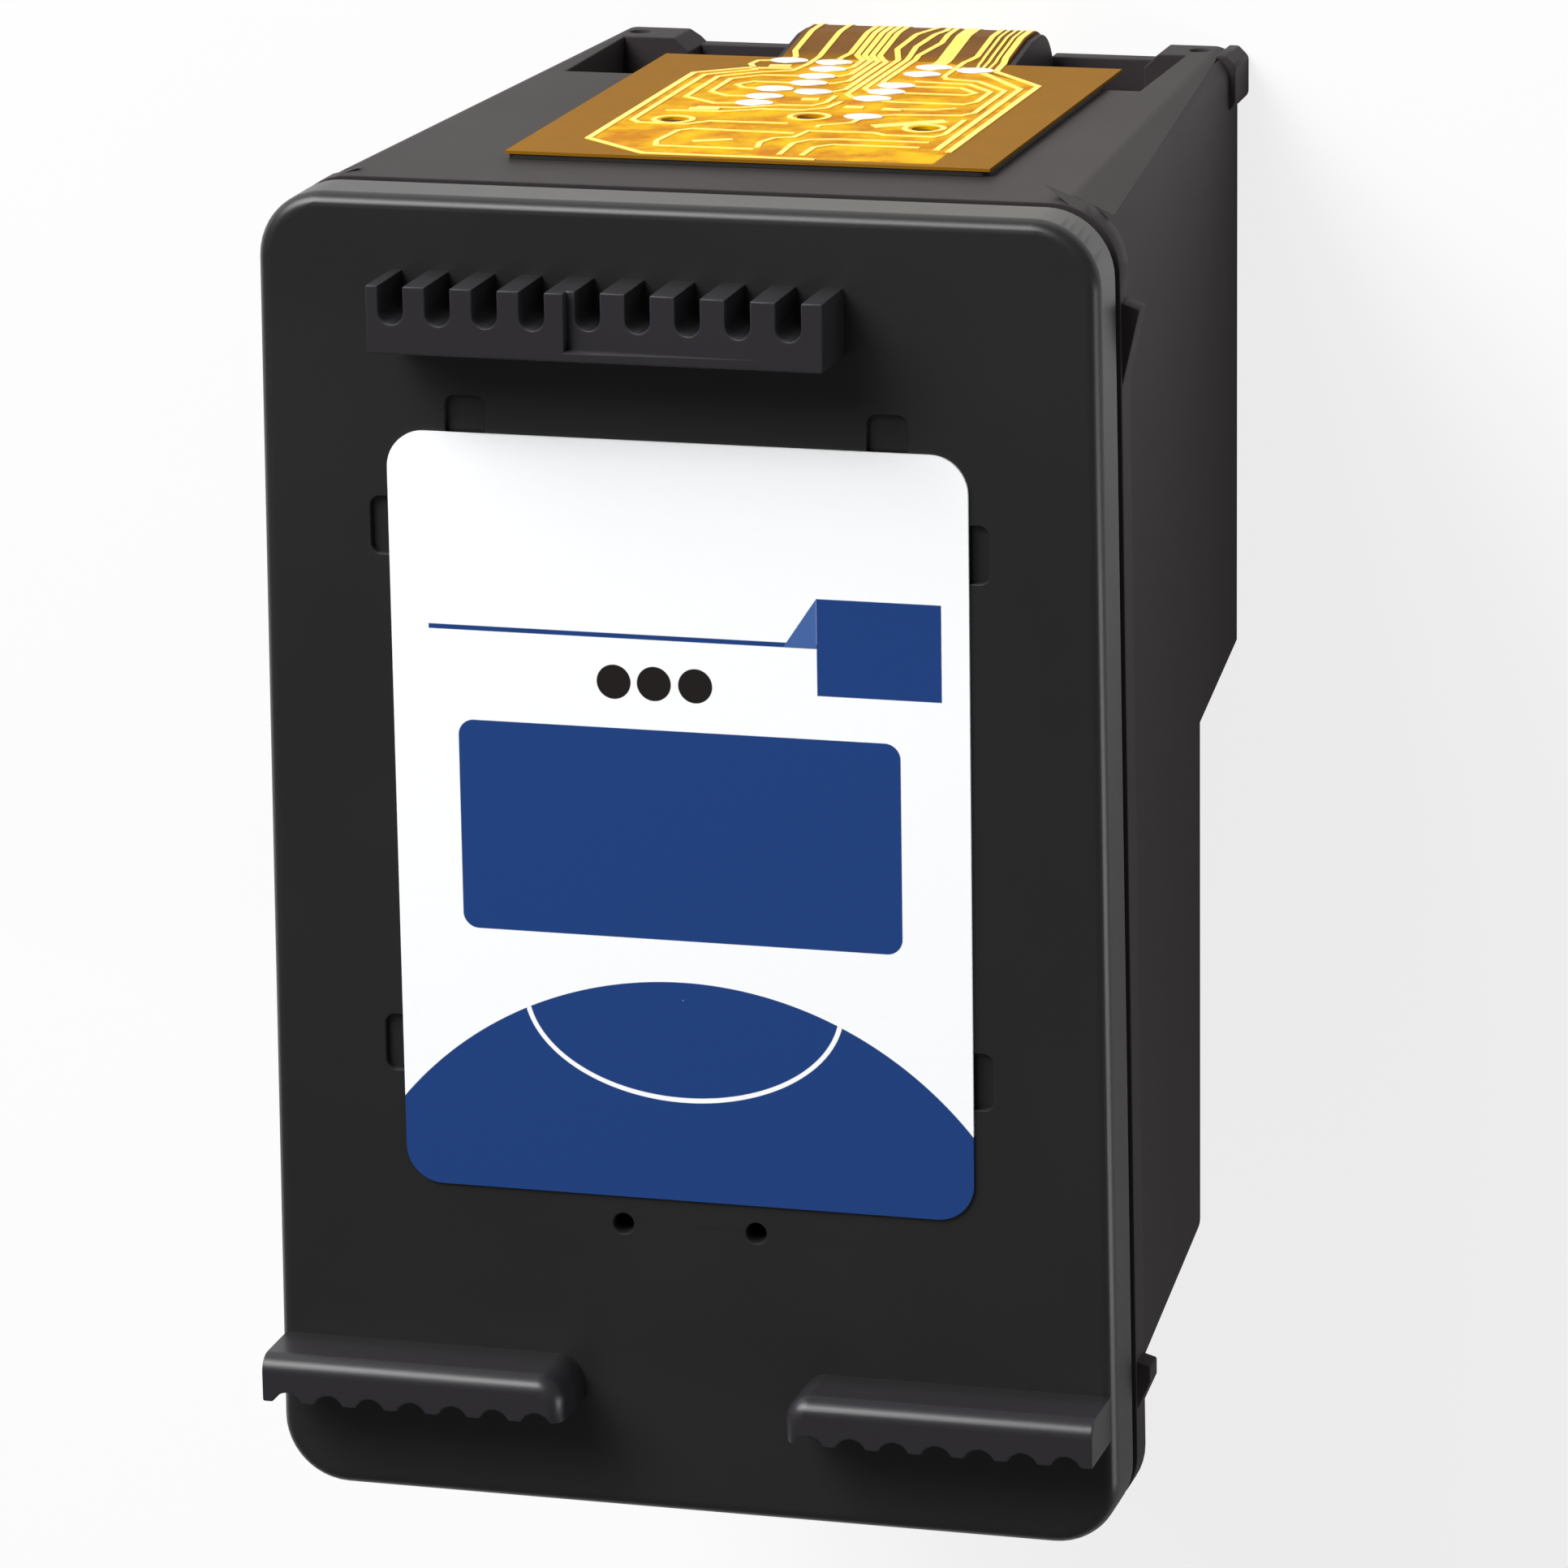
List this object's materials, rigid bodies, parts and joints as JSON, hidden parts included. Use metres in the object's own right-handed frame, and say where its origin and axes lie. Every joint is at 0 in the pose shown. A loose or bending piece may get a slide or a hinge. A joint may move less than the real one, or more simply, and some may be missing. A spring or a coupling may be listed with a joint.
{
  "type": "inkjet ink cartridge",
  "caption": "Inkjet ink cartridge with integrated print head: stepped plastic body, ribbed lid with label, flex contact film over the nose and a nozzle die beneath the snout.",
  "frame": {"origin": "on the plane of the snout's rim, under the middle of the lid, with the cartridge as it sits in a printer, nozzles down", "axes": "+Z from the nozzles up to the lid and its label, +Y towards the electrical contact face, X across the cartridge"},
  "size_m": [0.0346, 0.0522, 0.041],
  "materials": {
    "body_plastic": "satin",
    "lid_plastic": "satin",
    "label_paper": "satin",
    "foam": "matte",
    "screen_steel": "satin",
    "adhesive_sheet": "matte",
    "amber_film": "gloss",
    "pad_metal": "polished",
    "silicon": "polished",
    "epoxy": "gloss",
    "nozzle_film": "satin"
  },
  "bodies": {
    "root": {"cartridge_body": "body_plastic", "cartridge_lid": "lid_plastic", "label": "label_paper", "ink_foam": "foam", "filter_screen": "screen_steel", "flex_adhesive": "adhesive_sheet", "flex_film": "amber_film", "contact_pads": "pad_metal", "printhead_die": "silicon", "die_adhesive": "epoxy", "nozzle_plate": "nozzle_film", "bond_beads": "epoxy"}
  },
  "joints": []
}
